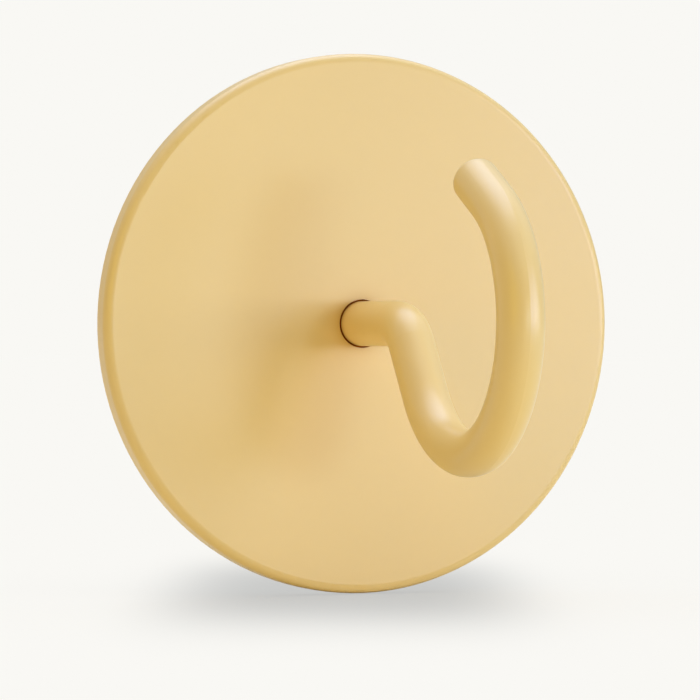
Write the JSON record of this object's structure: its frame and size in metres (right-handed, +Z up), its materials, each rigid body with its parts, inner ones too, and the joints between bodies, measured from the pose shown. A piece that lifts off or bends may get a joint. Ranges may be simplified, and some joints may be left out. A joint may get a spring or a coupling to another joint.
{
  "type": "adhesive hook",
  "caption": "Self-adhesive wall hook: a coated round plate with foam tape behind it and a bent round rod that drops and sweeps up into a wide open bow.",
  "frame": {"origin": "middle of the adhesive pad's wall side", "axes": "+Y into the wall, the hook reaches out along -Y, +Z up, +X to the right seen from the room"},
  "size_m": [0.06, 0.0501, 0.06],
  "materials": {
    "yellow_coating": "satin powder coat, pale mustard yellow",
    "foam_tape": "matte closed-cell foam tape, off-white",
    "zinc_plate": "bright zinc plate on steel"
  },
  "bodies": {
    "root": {"back_plate": "yellow_coating", "hook_rod": "yellow_coating", "adhesive_pad": "foam_tape", "retaining_screw": "zinc_plate"}
  },
  "joints": []
}
